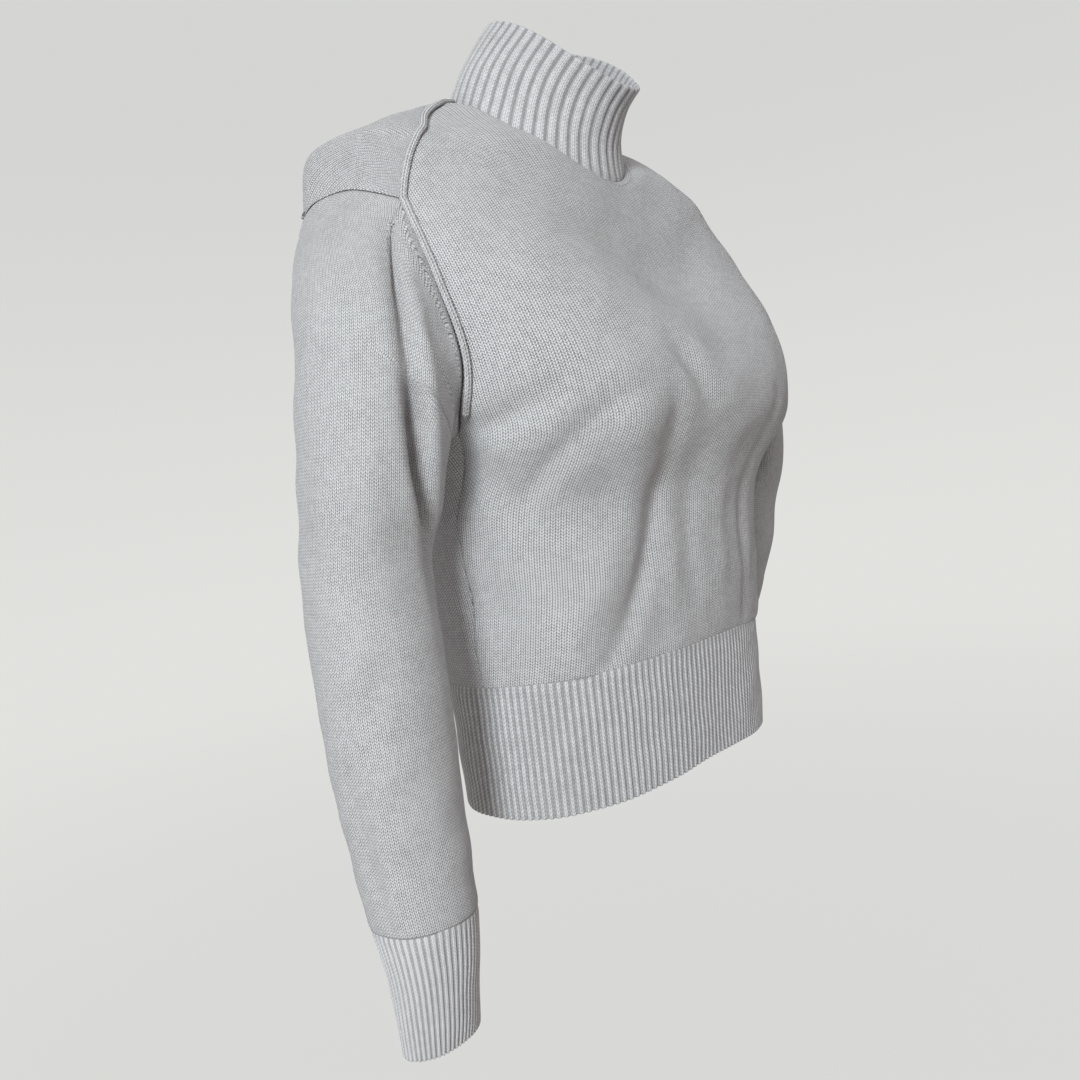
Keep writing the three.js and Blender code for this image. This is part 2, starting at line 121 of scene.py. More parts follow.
# Floor and backdrop in one: a wide flat disc whose height rises with the square of the way past
# the foot of the wall. It shows no lamp light; its brightness is painted light, a glow that is
# fullest where the floor meets the wall and dimmer towards the middle and the far edge.
def makeBackdrop(look):
    turns = np.linspace(0, 2 * np.pi, look["around"] + 1)[:-1]
    turn, across = np.meshgrid(turns, np.linspace(0, 1, look["rings"]))
    radius = look["radius"] * across
    wall = np.clip((across - look["wallFrom"]) / (1 - look["wallFrom"]), 0, 1)
    height = look["floorHeight"] + look["wallRise"] * wall**2
    ground = np.stack([radius * np.cos(turn), -radius * np.sin(turn), height], -1) * 1000
    backdrop = makeMesh("backdrop", ground, closeColumns=True)
    backdrop.visible_shadow = False
    backdrop.visible_diffuse = False
    paper = bpy.data.materials.new("pale backdrop paper")
    paper.use_nodes = True
    tree = paper.node_tree
    shader = tree.nodes["Principled BSDF"]
    where = tree.nodes.new("ShaderNodeTexCoord")
    spread = tree.nodes.new("ShaderNodeVectorMath")
    spread.operation = "LENGTH"
    share = tree.nodes.new("ShaderNodeMath")
    share.operation, share.inputs[1].default_value = "DIVIDE", look["radius"]
    # painted light: the glow is brighter or dimmer by the share of the way out from the middle
    ramp = tree.nodes.new("ShaderNodeValToRGB")
    tree.links.new(where.outputs["Object"], spread.inputs[0])
    tree.links.new(spread.outputs["Value"], share.inputs[0])
    tree.links.new(share.outputs[0], ramp.inputs[0])
    tree.links.new(ramp.outputs[0], shader.inputs["Emission Color"])
    stops = ramp.color_ramp
    stops.interpolation = "EASE"
    (first, firstGlow), *between, (last, lastGlow) = look["stops"]
    stops.elements[0].position, stops.elements[1].position = first, last
    stops.elements[0].color = (*look[firstGlow], 1.0)
    stops.elements[1].color = (*look[lastGlow], 1.0)
    for position, glow in between:
        stops.elements.new(position).color = (*look[glow], 1.0)
    shader.inputs["Base Color"].default_value = (0.0, 0.0, 0.0, 1.0)  # no lamp shows on it
    shader.inputs["Emission Strength"].default_value = 1.0
    shader.inputs["Roughness"].default_value = 1.0
    shader.inputs["Specular IOR Level"].default_value = 0.0
    backdrop.data.materials.append(paper)


# A smooth mesh over a grid of points in mm. Its faces point the way that the columns' way round
# crossed with the rows' way down does.
def makeMesh(name, points, closeRows=False, closeColumns=False, uv=None, edge=None, dip=None):
    rows, columns = points.shape[:2]
    down, round = np.arange(rows - (not closeRows)), np.arange(columns - (not closeColumns))
    i, j = np.meshgrid(down, round, indexing="ij")
    corners = [(i, j), (i, j + 1), (i + 1, j + 1), (i + 1, j)]
    faces = np.stack([(a % rows) * columns + b % columns for a, b in corners], -1).reshape(-1, 4)
    mesh = bpy.data.meshes.new(name)
    mesh.vertices.add(rows * columns)
    mesh.vertices.foreach_set("co", (points.reshape(-1, 3) / 1000).ravel())
    mesh.loops.add(faces.size)
    mesh.loops.foreach_set("vertex_index", faces.ravel())
    mesh.polygons.add(len(faces))
    mesh.polygons.foreach_set("loop_start", np.arange(0, faces.size, 4))
    mesh.polygons.foreach_set("use_smooth", np.ones(len(faces), bool))
    for label, values in (("stitches", uv), ("edge", edge)):
        if values is not None:
            flat = np.stack([values[a, b] for a, b in corners], -2).reshape(-1, 2)
            mesh.uv_layers.new(name=label).data.foreach_set("uv", flat.ravel())
    if dip is not None:
        mesh.attributes.new("dip", "FLOAT", "POINT").data.foreach_set("value", dip.ravel())
    mesh.update(calc_edges=True)
    mesh.validate()
    piece = bpy.data.objects.new(name, mesh)
    bpy.context.collection.objects.link(piece)
    return piece


# Vectors at length 1.
def unit(v):
    return v / np.maximum(np.linalg.norm(v, axis=-1, keepdims=True), 1e-9)


# Outward directions: the way round crossed with the way down, from the neighbours of each point.
def gridOut(points, closeColumns):
    if closeColumns:
        around = np.roll(points, -1, 1) - np.roll(points, 1, 1)
    else:
        around = np.gradient(points, axis=1)
    return unit(np.cross(around, np.gradient(points, axis=0)))


# Distance along a grid line from its first point.
def runLength(points, axis):
    step = np.linalg.norm(np.diff(points, axis=axis), axis=-1)
    return np.insert(np.cumsum(step, axis=axis), 0, 0, axis=axis)


# A closed round wall: the outer rows going down, a half-round edge, the inner rows going up and
# another half-round edge, so that the rows close too.
def tubeWall(outer, inner):
    def edge(fromRow, toRow, beyond):
        middle, half = (fromRow + toRow) / 2, (fromRow - toRow) / 2
        reach = np.linalg.norm(half, axis=-1, keepdims=True) * unit(beyond)
        turn = np.pi * np.array([0.25, 0.5, 0.75])
        return [middle + np.cos(t) * half + np.sin(t) * reach for t in turn]
    bottom = edge(outer[-1], inner[-1], outer[-1] - outer[-2])
    top = edge(inner[0], outer[0], outer[0] - outer[1])
    return np.concatenate([outer, bottom, inner[::-1], top])


# One section per row, from the top down: heights at the front, side and back, half width, half
# depth, middle in Y, and how square the front and back are, where 2 is an oval.
neckSections = [
    (-6, 53, 74, 56, 60, -34, 2, 2),
    (-19, 41, 60, 59, 61, -17, 2, 2),
    (-40, 26, 44, 65, 62, -5, 2, 2),
    (-67, 0, 28, 71, 70, 4, 1.95, 2),
]
bodySections = [
    (-67, 0, 28, 71, 70, 4, 1.95, 2),
    (-76, -4, 4, 108, 82, 8, 2.1, 2.3),
    (-112, -32, -38, 176, 98, 11, 2.1, 2.7),
    (-160, -56, -72, 202, 112, 8, 2.0, 3.4),
    (-212, -150, -157, 206, 140, -8, 2.3, 3.5),
    (-258, -255, -240, 186, 141, -20, 2.4, 2.6),
    (-322, -320, -318, 168, 120, -6, 2.3, 2.4),
    (-390, -391, -392, 163, 115, -3, 2.3, 2.3),
    (-438, -446, -449, 155, 107, -4, 2.3, 2.3),
]
hemSections = [
    (-438, -446, -449, 155, 107, -4, 2.3, 2.3),
    (-531, -543, -538, 157, 98, -5, 2.3, 2.3),
]
# The sleeves and cuffs, sections from the top down: height, place, half sizes, and how much
# higher the outer side and the back are. The left sleeve hangs back and in behind the body.
armSections = {
    "right": [
        (-235, 233, -17, 42, 54, 40, 0),
        (-297, 239, -9, 45, 49, 14, 0),
        (-340, 241, 2, 44, 44, 4, 0),
        (-395, 243, 1, 45, 44, 0, 0),
        (-462, 243, 1, 44, 44, 0, 0),
        (-518, 243, -3, 41, 40, 0, 0),
        (-578, 243, -8, 37, 36, 0, 0),
    ],
    "left": [
        (-235, 233, -17, 42, 54, 40, 0),
        (-297, 242, -12, 45, 49, 14, 5),
        (-340, 247, -1, 44, 44, 4, 8),
        (-393, 248, 12, 45, 42, 2, 11),
        (-456, 243, 36, 44, 41, 4, 14),
        (-511, 232, 66, 41, 37, 6, 15),
        (-568, 215, 102, 37, 33, 7, 15),
    ],
}
cuffSections = {
    "right": [
        (-578, 243, -8, 37, 36, 0, 0),
        (-616, 243, -11, 33, 28, 0, 0),
        (-664, 243, -9, 31, 19, 0, 0),
    ],
    "left": [
        (-568, 215, 102, 37, 33, 7, 15),
        (-604, 203, 124, 33, 26, 6, 12),
        (-648, 187, 152, 31, 18, 6, 8),
    ],
}
# Seam lines on the wearer's right: level counts the body sections, degrees go round from the
# front.
sideSeam = [(8, 90), (7, 89), (6, 87), (5.05, 84)]
frontArmhole = [(5.05, 84), (4.55, 76.5), (4, 76.2), (3.45, 79)]
shoulderSeam = [(3.45, 79), (2.7, 75.6), (2, 76.3), (1.2, 85), (0.55, 99), (0, 116)]
backArmhole = [
    (3.45, 79), (3.4, 85), (3.36, 91), (3.36, 98), (3.38, 105), (3.46, 113),
    (3.7, 117.5), (4.1, 116.5), (4.55, 111), (4.85, 103), (5, 93), (5.05, 84),
]


# Smooth rows between the rows of a table: a cubic through the two nearest, with the slope at each
# taken from the rows beside it.
def rowAt(table, level):
    rows = np.asarray(table, float)
    level = np.asarray(level, float)
    i = np.clip(np.floor(level).astype(int), 0, len(rows) - 2)
    u = (level - i)[..., None]
    a, b, c, d = (rows[np.clip(i + k, 0, len(rows) - 1)] for k in (-1, 0, 1, 2))
    square, cube = 2 * a - 5 * b + 4 * c - d, 3 * b - a - 3 * c + d
    return np.moveaxis(b + 0.5 * ((c - a) * u + square * u**2 + cube * u**3), -1, 0)


# A point of an upright tube. Its reach from the middle is that of a squared oval, and its height
# tilts with the cosine of the angle and bows with its square.
def tubePoint(table, angle, level):
    zFront, zSide, zBack, width, depth, centreY, squareFront, squareBack = rowAt(table, level)
    s, c = np.sin(angle), np.cos(angle)
    square = np.where(c > 0, squareFront, squareBack)
    reach = (np.abs(s / width) ** square + np.abs(c / depth) ** square) ** (-1 / square)
    height = zSide + (zFront - zBack) / 2 * c + ((zFront + zBack) / 2 - zSide) * c * c
    return np.stack(np.broadcast_arrays(-reach * s, centreY - reach * c, height), -1)


# A point of a sleeve as on the wearer's right: an oval, with 0 at its outer side and a quarter
# turn at its back, tilted by how much higher those two stand.
def armPoint(table, angle, level):
    z, x, y, across, depth, rise, riseBack = rowAt(table, level)
    s, c = np.sin(angle), np.cos(angle)
    height = z + rise * c + riseBack * s
    return np.stack(np.broadcast_arrays(-x - across * c, y + depth * s, height), -1)


# The way out of a surface: the way round crossed with the way down.
def outward(point, angle, level):
    small = 1e-3
    around = point(angle + small, level) - point(angle - small, level)
    down = point(angle, level + small) - point(angle, level - small)
    return unit(np.cross(around, down))


# Depth at a fold's ends as a share of its greatest, and a power of the way along it that sets
# where that is.
foldForm = {"atEnds": 0.45, "skew": 0.85}


# How far folds move the cloth outwards. Each is a soft ridge or trough along a bowed line from
# one place to another, deepest a little before its middle, and fades beyond its ends.
def foldHeight(folds, scale, angle, level):
    height = np.zeros(np.broadcast(angle, level).shape)
    for fromDegrees, fromLevel, toDegrees, toLevel, bow, halfWidth, depth in folds:
        start = np.array([np.radians(fromDegrees) * scale[0], fromLevel * scale[1]])
        run = np.array([np.radians(toDegrees) * scale[0], toLevel * scale[1]]) - start
        length = np.hypot(*run)
        along, across = run / length, np.array([run[1], -run[0]]) / length
        turned = (angle - np.radians(fromDegrees) + np.pi) % (2 * np.pi) - np.pi
        x, y = turned * scale[0], level * scale[1] - start[1]
        t = (x * along[0] + y * along[1]) / length
        inside = np.clip(t, 0, 1)
        side = x * across[0] + y * across[1] - bow * 4 * inside * (1 - inside)
        away = (side / halfWidth) ** 2 + ((t - inside) * length / halfWidth) ** 2
        arch = np.sin(np.pi * inside ** foldForm["skew"])
        fullness = foldForm["atEnds"] + (1 - foldForm["atEnds"]) * arch
        height = height + depth * np.exp(-away) * fullness
    return height


# Folds of the body: from and to in degrees and levels, bow, half width and depth in mm.
bodyFolds = [
    (82, 5.06, 59, 4.78, 4, 7, -4.6),
    (80, 4.86, 62, 4.5, 3, 10, 1.6),
    (71, 6.06, 38, 4.76, -12, 9, -3.8),
    (76, 6.5, 50, 5.5, -8, 13, 1.8),
    (30, 4.7, 29, 6.15, -3, 12, -5.5),
    (29, 5.95, 53, 7.85, -7, 11, -7.0),
    (15, 5.0, 36, 7.8, -6, 30, -6.5),
    (42, 4.85, 41, 6.4, 0, 14, 3.6),
    (41, 6.2, 64, 7.7, 4, 14, 4.4),
    (25, 4.2, 16, 5.0, 0, 13, -6.5),
    (21, 6.3, 26, 7.4, 0, 11, 2.6),
    (10, 5.5, 13, 7.6, 4, 13, -2.6),
    (-3, 5.4, -4, 7.5, -4, 15, 2.0),
    (-25, 4.9, -28, 7.8, 3, 10, -3.2),
    (-40, 5.1, -62, 7.3, -6, 13, -4.2),
    (-82, 5.06, -64, 4.8, -4, 8, -3.6),
    (84, 5.1, 84, 5.7, 0, 13, -9.0),
    (98, 5.9, 79, 5.95, 2, 13, 3.4),
    (94, 6.9, 77, 6.85, 0, 22, -6.5),
    (66, 7.1, 58, 7.9, 0, 15, 1.6),
    (-50, 7.4, -46, 8.0, 0, 15, 2.4),
    (102, 5.3, 118, 7.2, 8, 14, -4.5),
    (128, 5.6, 136, 7.8, 4, 17, -3.6),
    (150, 5.2, 160, 7.7, -5, 15, 3.2),
    (172, 5.9, 176, 7.9, 5, 18, -3.0),
    (206, 5.3, 198, 7.7, 6, 16, 3.0),
    (222, 5.7, 226, 7.8, -4, 16, -4.0),
    (256, 5.2, 244, 7.0, -6, 14, -5.0),
    (150, 2.2, 120, 3.0, 6, 13, 1.6),
    (212, 2.1, 240, 3.0, -6, 13, 1.8),
    (160, 0.5, 150, 2.4, 0, 16, -1.8),
]
# Folds of the sleeves, where 0 degrees is the outer side, 90 the back and 270 the front.
sleeveFolds = [
    (290, -0.85, 275, 0.35, 2, 8, -9.0),
    (278, 0.2, 246, 1.35, 2, 9, -19.0),
    (254, 1.2, 228, 2.4, 0, 9, -6.0),
    (272, -0.5, 256, 0.6, 2, 8, 3.0),
    (312, 0.5, 300, 1.9, 3, 12, 1.6),
    (2, 0.2, 354, 2.2, 4, 11, 1.4),
    (300, 3.0, 330, 4.2, 5, 10, -1.5),
    (350, 4.1, 346, 5.8, 3, 8, -2.2),
    (326, 4.6, 334, 5.9, 0, 8, 1.2),
    (60, -0.7, 96, 0.8, 6, 12, -7.0),
    (84, 0.1, 110, 1.4, -4, 10, 3.0),
    (120, 2.4, 80, 3.4, 6, 11, -2.4),
    (150, 3.0, 100, 4.0, 5, 11, -2.0),
    (40, 3.6, 80, 4.8, -5, 11, -1.6),
    (200, 2.6, 160, 3.6, 5, 10, -2.0),
]
# Lengths in mm of a radian round and of a level down, for the folds.
bodyScale = (150, 62)
sleeveScale = (46, 62)


def plainBody(angle, level):
    return tubePoint(bodySections, angle, level)


# The plain body moved outwards by the height of its folds.
def bodyPoint(angle, level):
    folds = foldHeight(bodyFolds, bodyScale, angle, level)
    return plainBody(angle, level) + outward(plainBody, angle, level) * folds[..., None]


def neckPoint(angle, level):
    return tubePoint(neckSections, angle, level)


def hemPoint(angle, level):
    return tubePoint(hemSections, angle, level)


# Steps along each seam, which are also the rows of the panels and the columns of the sleeves.
seamSteps = {"side": 44, "front": 44, "shoulder": 56, "back": 84}


# Level and angle at steps along a seam's table, closer together at an end by a power of the share
# of the way.
def seamLine(table, count, closeStart=1.0, closeEnd=1.0):
    t = np.linspace(0, 1, count + 1) ** closeStart
    t = 1 - (1 - t) ** closeEnd
    level, degrees = rowAt(table, t * (len(table) - 1))
    return np.stack([level, np.radians(degrees)])


seams = {
    "side": seamLine(sideSeam, seamSteps["side"], closeStart=1.4),
    "front": seamLine(frontArmhole, seamSteps["front"]),
    "shoulder": seamLine(shoulderSeam, seamSteps["shoulder"], closeEnd=1.4),
    "back": seamLine(backArmhole, seamSteps["back"]),
}


# Points on a seam, the way out of the cloth there, and the way to the left of the line, which
# lies in the cloth: the way out crossed with the way along.
def withSideways(level, angle, closed=False):
    points, out = bodyPoint(angle, level), outward(bodyPoint, angle, level)
    if closed:
        along = np.roll(points, -1, 0) - np.roll(points, 1, 0)
    else:
        along = np.gradient(points, axis=0)
    return points, out, unit(np.cross(out, along))


print("shapes set out")

# Colours, finish, and how much each unevenness shades the yarn. The dark colour is painted shade in
# the gaps between stitches, the light one the yarn on top.
yarn = {
    "light": (0.84, 0.835, 0.84), "dark": (0.13, 0.122, 0.126), "lightAt": 0.93,
    "roughness": 0.92, "specular": 0.2,
    "sheen": 0.25, "sheenRoughness": 0.45, "sheenTint": (0.95, 0.97, 1.0),
    "stitchUneven": 0.16, "fuzz": 0.24, "mottle": 0.14, "inDips": 0.62, "inMarks": 0.55,
    "fuzzHeight": 0.35, "fuzzRoughness": 0.7, "bump": 0.8,
    "driftScale": 0.06, "fuzzScale": 1.7, "mottleScale": 0.035,  # per mm
}
# A leg's profile across the wale is a power of a half sine that starts at a share of its turn;
# along it, the strand's round profile adds to a lower ground.
stitchForm = {
    "slant": 0.8, "legTurn": 0.86, "legStart": 0.09, "legPower": 0.75,
    "strand": 0.66, "ground": 0.38, "meanShade": 0.62,
}


# Rows of V stitches over the piece's own UV map, in mm. In each wale the two legs of a stitch
# rise outwards: the height is a strand's round profile over the courses, shifted by the distance
# from the middle of the wale, times a leg's round profile across the wale. The colour follows the
# height, with painted shade in the gaps between legs and strands. Within the band beside an armhole
# the wales follow the seam instead, and a line of small marks runs along the band.
def makeKnit(name, wale, course, relief, contrast=1.0, lift=0.0, band=0.0, marksEvery=9.0):
    form = stitchForm
    material = bpy.data.materials.new(name)
    material.use_nodes = True
    tree = material.node_tree
    shader = tree.nodes["Principled BSDF"]

    # inputs are given by number in order, or by name
    def node(kind, *numbered, **named):
        made = tree.nodes.new(kind)
        for key, value in [*enumerate(numbered), *named.items()]:
            if isinstance(value, bpy.types.NodeSocket):
                tree.links.new(value, made.inputs[key])
            else:
                made.inputs[key].default_value = value
        return made

    def maths(operation, *values):
        made = node("ShaderNodeMath", *values)
        made.operation = operation
        return made.outputs[0]

    def vectorMaths(operation, *values):
        made = node("ShaderNodeVectorMath", *values)
        made.operation = operation
        return made.outputs[0]

    # a spread about nothing: noise from 0 to 1, as wide as the width given
    def spreadBy(noise, width):
        return maths("MULTIPLY_ADD", noise, width, -width / 2)

    def bell(value, middle, halfWidth):
        away = maths("DIVIDE", maths("SUBTRACT", value, middle), halfWidth)
        return maths("EXPONENT", maths("MULTIPLY", maths("MULTIPLY", away, away), -1.0))

    def uvMap(label):
        made = node("ShaderNodeUVMap")
        made.uv_map = label
        return made.outputs[0]

    place = uvMap("stitches")
    if band:
        edge = node("ShaderNodeSeparateXYZ", Vector=uvMap("edge")).outputs
        inBand = maths("LESS_THAN", edge[0], band)
        mixed = node("ShaderNodeMix")
        mixed.data_type = "VECTOR"
        tree.links.new(inBand, mixed.inputs[0])
        tree.links.new(place, mixed.inputs[4])
        tree.links.new(uvMap("edge"), mixed.inputs[5])
        place = mixed.outputs[1]
    drift = node("ShaderNodeTexNoise", Vector=place, Scale=yarn["driftScale"], Detail=2.0)
    wander = vectorMaths("SUBTRACT", drift.outputs["Color"], (0.5, 0.5, 0.5))
    moved = vectorMaths("MULTIPLY_ADD", wander, (1.0, 1.0, 0.0), place)  # up to half a mm
    parts = node("ShaderNodeSeparateXYZ", Vector=moved)
    across = maths("DIVIDE", parts.outputs[0], wale)
    along = maths("DIVIDE", parts.outputs[1], course)
    fromMiddle = maths("ABSOLUTE", maths("SUBTRACT", maths("FRACT", across), 0.5))
    fromMiddle = maths("MULTIPLY", fromMiddle, 2.0)
    strand = maths("SUBTRACT", along, maths("MULTIPLY", fromMiddle, form["slant"]))
    strandProfile = maths("SINE", maths("MULTIPLY", maths("FRACT", strand), np.pi))
    legTurn = maths("MULTIPLY_ADD", fromMiddle, form["legTurn"] * np.pi, form["legStart"] * np.pi)
    leg = maths("POWER", maths("SINE", legTurn), form["legPower"])
    strandHeight = maths("MULTIPLY_ADD", strandProfile, form["strand"], form["ground"])
    height = maths("MULTIPLY", leg, strandHeight)

    stitch = node("ShaderNodeCombineXYZ", X=maths("FLOOR", across), Y=maths("FLOOR", strand))
    chance = node("ShaderNodeTexWhiteNoise", Vector=stitch.outputs[0])
    fuzz = node("ShaderNodeTexNoise", Vector=place, Scale=yarn["fuzzScale"], Detail=3.0)
    fuzz.inputs["Roughness"].default_value = yarn["fuzzRoughness"]
    mottle = node("ShaderNodeTexNoise", Vector=place, Scale=yarn["mottleScale"], Detail=3.0)
    # painted shade: the colour follows the stitch height, darkest in the gaps between legs and
    # strands
    shade = maths("MULTIPLY_ADD", height, contrast, form["meanShade"] * (1 - contrast) + lift)
    for noise, width in ((chance, "stitchUneven"), (fuzz, "fuzz"), (mottle, "mottle")):
        shade = maths("ADD", shade, spreadBy(noise.outputs[0], yarn[width]))
    # the dip attribute darkens the colour: beside seams, and painted shade in the rib furrows and
    # the sleeves' deep troughs
    dip = node("ShaderNodeAttribute")
    dip.attribute_name = "dip"
    kept = maths("MULTIPLY_ADD", dip.outputs["Fac"], -yarn["inDips"], 1.0)
    shade = maths("MULTIPLY", shade, kept)
    if band:
        beat = maths("SINE", maths("MULTIPLY", edge[1], np.pi / marksEvery))
        spots = maths("POWER", maths("ABSOLUTE", beat), 3.0)
        marks = maths("MULTIPLY", spots, bell(edge[0], band + 1.0, 1.0))
        shade = maths("MULTIPLY", shade, maths("MULTIPLY_ADD", marks, -yarn["inMarks"], 1.0))
    ramp = node("ShaderNodeValToRGB", Fac=shade)
    ends = ramp.color_ramp.elements
    ends[0].position, ends[1].position = 0.0, yarn["lightAt"]
    ends[0].color, ends[1].color = (*yarn["dark"], 1.0), (*yarn["light"], 1.0)
    tree.links.new(ramp.outputs[0], shader.inputs["Base Color"])

    rough = maths("MULTIPLY_ADD", fuzz.outputs[0], yarn["fuzzHeight"], height)
    bump = node("ShaderNodeBump", Strength=yarn["bump"], Distance=relief / 1000, Height=rough)
    tree.links.new(bump.outputs[0], shader.inputs["Normal"])
    shader.inputs["Roughness"].default_value = yarn["roughness"]
    shader.inputs["Specular IOR Level"].default_value = yarn["specular"]
    shader.inputs["Sheen Weight"].default_value = yarn["sheen"]
    shader.inputs["Sheen Roughness"].default_value = yarn["sheenRoughness"]
    shader.inputs["Sheen Tint"].default_value = (*yarn["sheenTint"], 1.0)
    return material


# Widths and heights of a stitch, and how far it stands out, in mm.
stitchSizes = {
    "body": {"wale": 3.8, "course": 2.15, "relief": 0.7},
    "sleeve": {"wale": 2.7, "course": 2.15, "relief": 0.55},
    "neck": {"wale": 2.4, "course": 2.7, "relief": 0.5},
    "hem": {"wale": 2.7, "course": 2.85, "relief": 0.5},
    "cuff": {"wale": 2.05, "course": 2.45, "relief": 0.45},
    "ridge": {"wale": 3.4, "course": 2.6, "relief": 0.8},
}
bodyKnit = makeKnit("body stockinette", contrast=1.25, **stitchSizes["body"])
frontKnit = makeKnit(
    "front stockinette", contrast=1.25, band=8.0, marksEvery=5.5, **stitchSizes["body"])
sleeveKnit = makeKnit("sleeve stockinette", contrast=1.25, band=9.0, **stitchSizes["sleeve"])
neckKnit = makeKnit("neck rib yarn", contrast=0.75, lift=0.12, **stitchSizes["neck"])
hemKnit = makeKnit("hem rib yarn", contrast=0.75, lift=0.12, **stitchSizes["hem"])
cuffKnit = makeKnit("cuff rib yarn", contrast=0.75, lift=0.28, **stitchSizes["cuff"])
ridgeKnit = makeKnit("ridge yarn", contrast=0.9, **stitchSizes["ridge"])
print("materials made")

# The wall, the dip and darkening beside a seam, and the unevenness, in mm; darkening is a share.
cloth = {
    "wall": 2.3, "groove": 0.5, "grooveWidth": 1.8, "seamDark": 0.25, "seamDarkWidth": 1.2,
    "waves": 0.22, "waveCount": 9, "waveLengths": (28, 75),
}


# Small unevenness of hand: a sum of long sine waves in random directions.
def waviness(points, seed):
    chance = np.random.default_rng(seed)
    total = np.zeros(points.shape[:-1])
    for _ in range(cloth["waveCount"]):
        way = chance.normal(size=3)
        way = way / np.linalg.norm(way) * 2 * np.pi / chance.uniform(*cloth["waveLengths"])
        total += np.sin(points @ way + chance.uniform(0, 2 * np.pi))
    return cloth["waves"] * total


# A share of the way from 0 to 1, eased at both ends.
def smooth(share):
    share = np.clip(share, 0, 1)
    return share * share * (3 - 2 * share)


# A narrow dip beside a seam.
def groove(distance):
    return -cloth["groove"] * np.exp(-((distance / cloth["grooveWidth"]) ** 2))


# How dark the cloth is beside a seam: a bell of the distance.
def seamShade(distance):
    return cloth["seamDark"] * np.exp(-((distance / cloth["seamDarkWidth"]) ** 2))


# Gives a piece its material, wall and place in the frame.
def finish(piece, nodes, material, wall=0.0):
    piece.data.materials.append(material)
    if wall:
        thick = piece.modifiers.new("wall", "SOLIDIFY")
        thick.thickness, thick.offset = wall / 1000, -1
    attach(piece, "root")
    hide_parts(*nodes)
    print(piece.name, "made:", len(piece.data.polygons), "faces")


# The front's wales lean outwards above a height in mm, by a share of the rise, more and more from
# a distance off the middle. Over the shoulders the back's wales run from front to back.
panels = {
    "columns": 172, "evenShare": 0.45,
    "leanAbove": -270, "lean": 0.25, "leanFrom": 30, "leanOver": 170,
    "shoulderTo": 2.6, "shoulderOver": 1.6, "shoulderShare": 0.9, "backCrossing": (8, 5.7, 2.4, 0),
}


# A panel between the seam on one side and the same on the other: each row leaves the seam at its
# own level, and its level changes with the square of the way from the middle.
def makePanel(name, edge, middle, crossing, seed):
    columns, even = panels["columns"], panels["evenShare"]
    level, angle = edge
    t = np.linspace(-1, 1, columns + 1)[None, :]
    u = even * t + (1 - even) * np.sin(np.pi / 2 * t)  # closer together beside the seams
    angles = middle - u * np.abs(middle - angle[:, None])
    levels = crossing[:, None] + (level - crossing)[:, None] * u**2
    points = bodyPoint(angles, levels)
    out = outward(bodyPoint, angles, levels)
    run = runLength(points, 1)
    fromSeam = np.minimum(run, run[:, -1:] - run)
    fromHem = runLength(points, 0)
    fromNeck = fromHem[-1] - fromHem
    height = groove(fromSeam) + groove(fromNeck) + groove(fromHem) + waviness(points, seed)
    dip = seamShade(fromSeam) + seamShade(fromNeck) + seamShade(fromHem)
    points = points + out * height[..., None]
    wales = run - run[:, columns // 2][:, None]
    if middle:  # the back
        body = smooth((levels - panels["shoulderTo"]) / panels["shoulderOver"])
        wales = body * wales - (1 - body) * panels["shoulderShare"] * points[..., 0]
    else:
        rise = np.maximum(points[..., 2] - panels["leanAbove"], 0)
        outer = smooth((np.abs(wales) - panels["leanFrom"]) / panels["leanOver"])
        wales = wales - panels["lean"] * rise * np.sign(wales) * outer
    uv = np.stack([wales + stitchSizes["body"]["wale"] / 2, fromHem], -1)
    return makeMesh(name, points, uv=uv, edge=np.stack([fromNeck, run], -1), dip=dip)


side, front, shoulder, back = (seams[name] for name in ("side", "front", "shoulder", "back"))
frontEdge = np.concatenate([side, front[:, 1:], shoulder[:, 1:]], axis=1)
backEdge = np.concatenate([side, back[:, -2::-1], shoulder[:, 1:]], axis=1)
places = np.cumsum([0, seamSteps["side"], seamSteps["back"], seamSteps["shoulder"]])
backCrossing = np.interp(np.arange(places[-1] + 1), places, panels["backCrossing"])

frontPanel = makePanel("sweater_front", frontEdge, 0.0, frontEdge[0], 3)
backPanel = makePanel("sweater_back", backEdge, np.pi, backCrossing, 4)
finish(frontPanel, ["front"], frontKnit, cloth["wall"])
finish(backPanel, ["back"], bodyKnit, cloth["wall"])

# How the sleeve leaves the armhole, at its top, its front and back, and under the arm: shares of
# the way along the body and the way out of it. Lengths are in mm, and the left sleeve's folds are
# turned round it by an angle. The deep troughs get painted shade, fullest at the trough depth
# given.
sleeveStart = {
    "shares": [(1, 0.3), (0.5, 0.85), (-0.8, 0.6)], "evenOver": 0.5,
    "startPull": 0.62, "endPull": 1.0,
    "foldsFade": 14, "foldsTurn": {1: 0.0, -1: 0.35}, "troughPaintedShade": 0.65, "troughDepth": 16,
    "edgeLength": 480, "backEdge": 60,
}
armSteps = {"loft": 44, "sleeve": 112, "axis": 8}


# The armhole from the top, down the back and up the front, on the wearer's right, with the
# sleeve's angle at each place by its share of the way round from the underarm.
def armholeRing(sideways):
    level, angle = np.concatenate([back, front[:, 1:-1]], axis=1)
    points, out, along = withSideways(level, angle * sideways, closed=True)
    flip = np.array([sideways, 1, 1])
    points, out = points * flip, out * flip
    along = along * flip * sideways
    length = np.linalg.norm(np.roll(points, -1, 0) - points, axis=-1)
    run = np.insert(np.cumsum(length)[:-1], 0, 0)
    angles = np.pi + 2 * np.pi * (run - run[seamSteps["back"]]) / length.sum()
    return points, out, along, angles


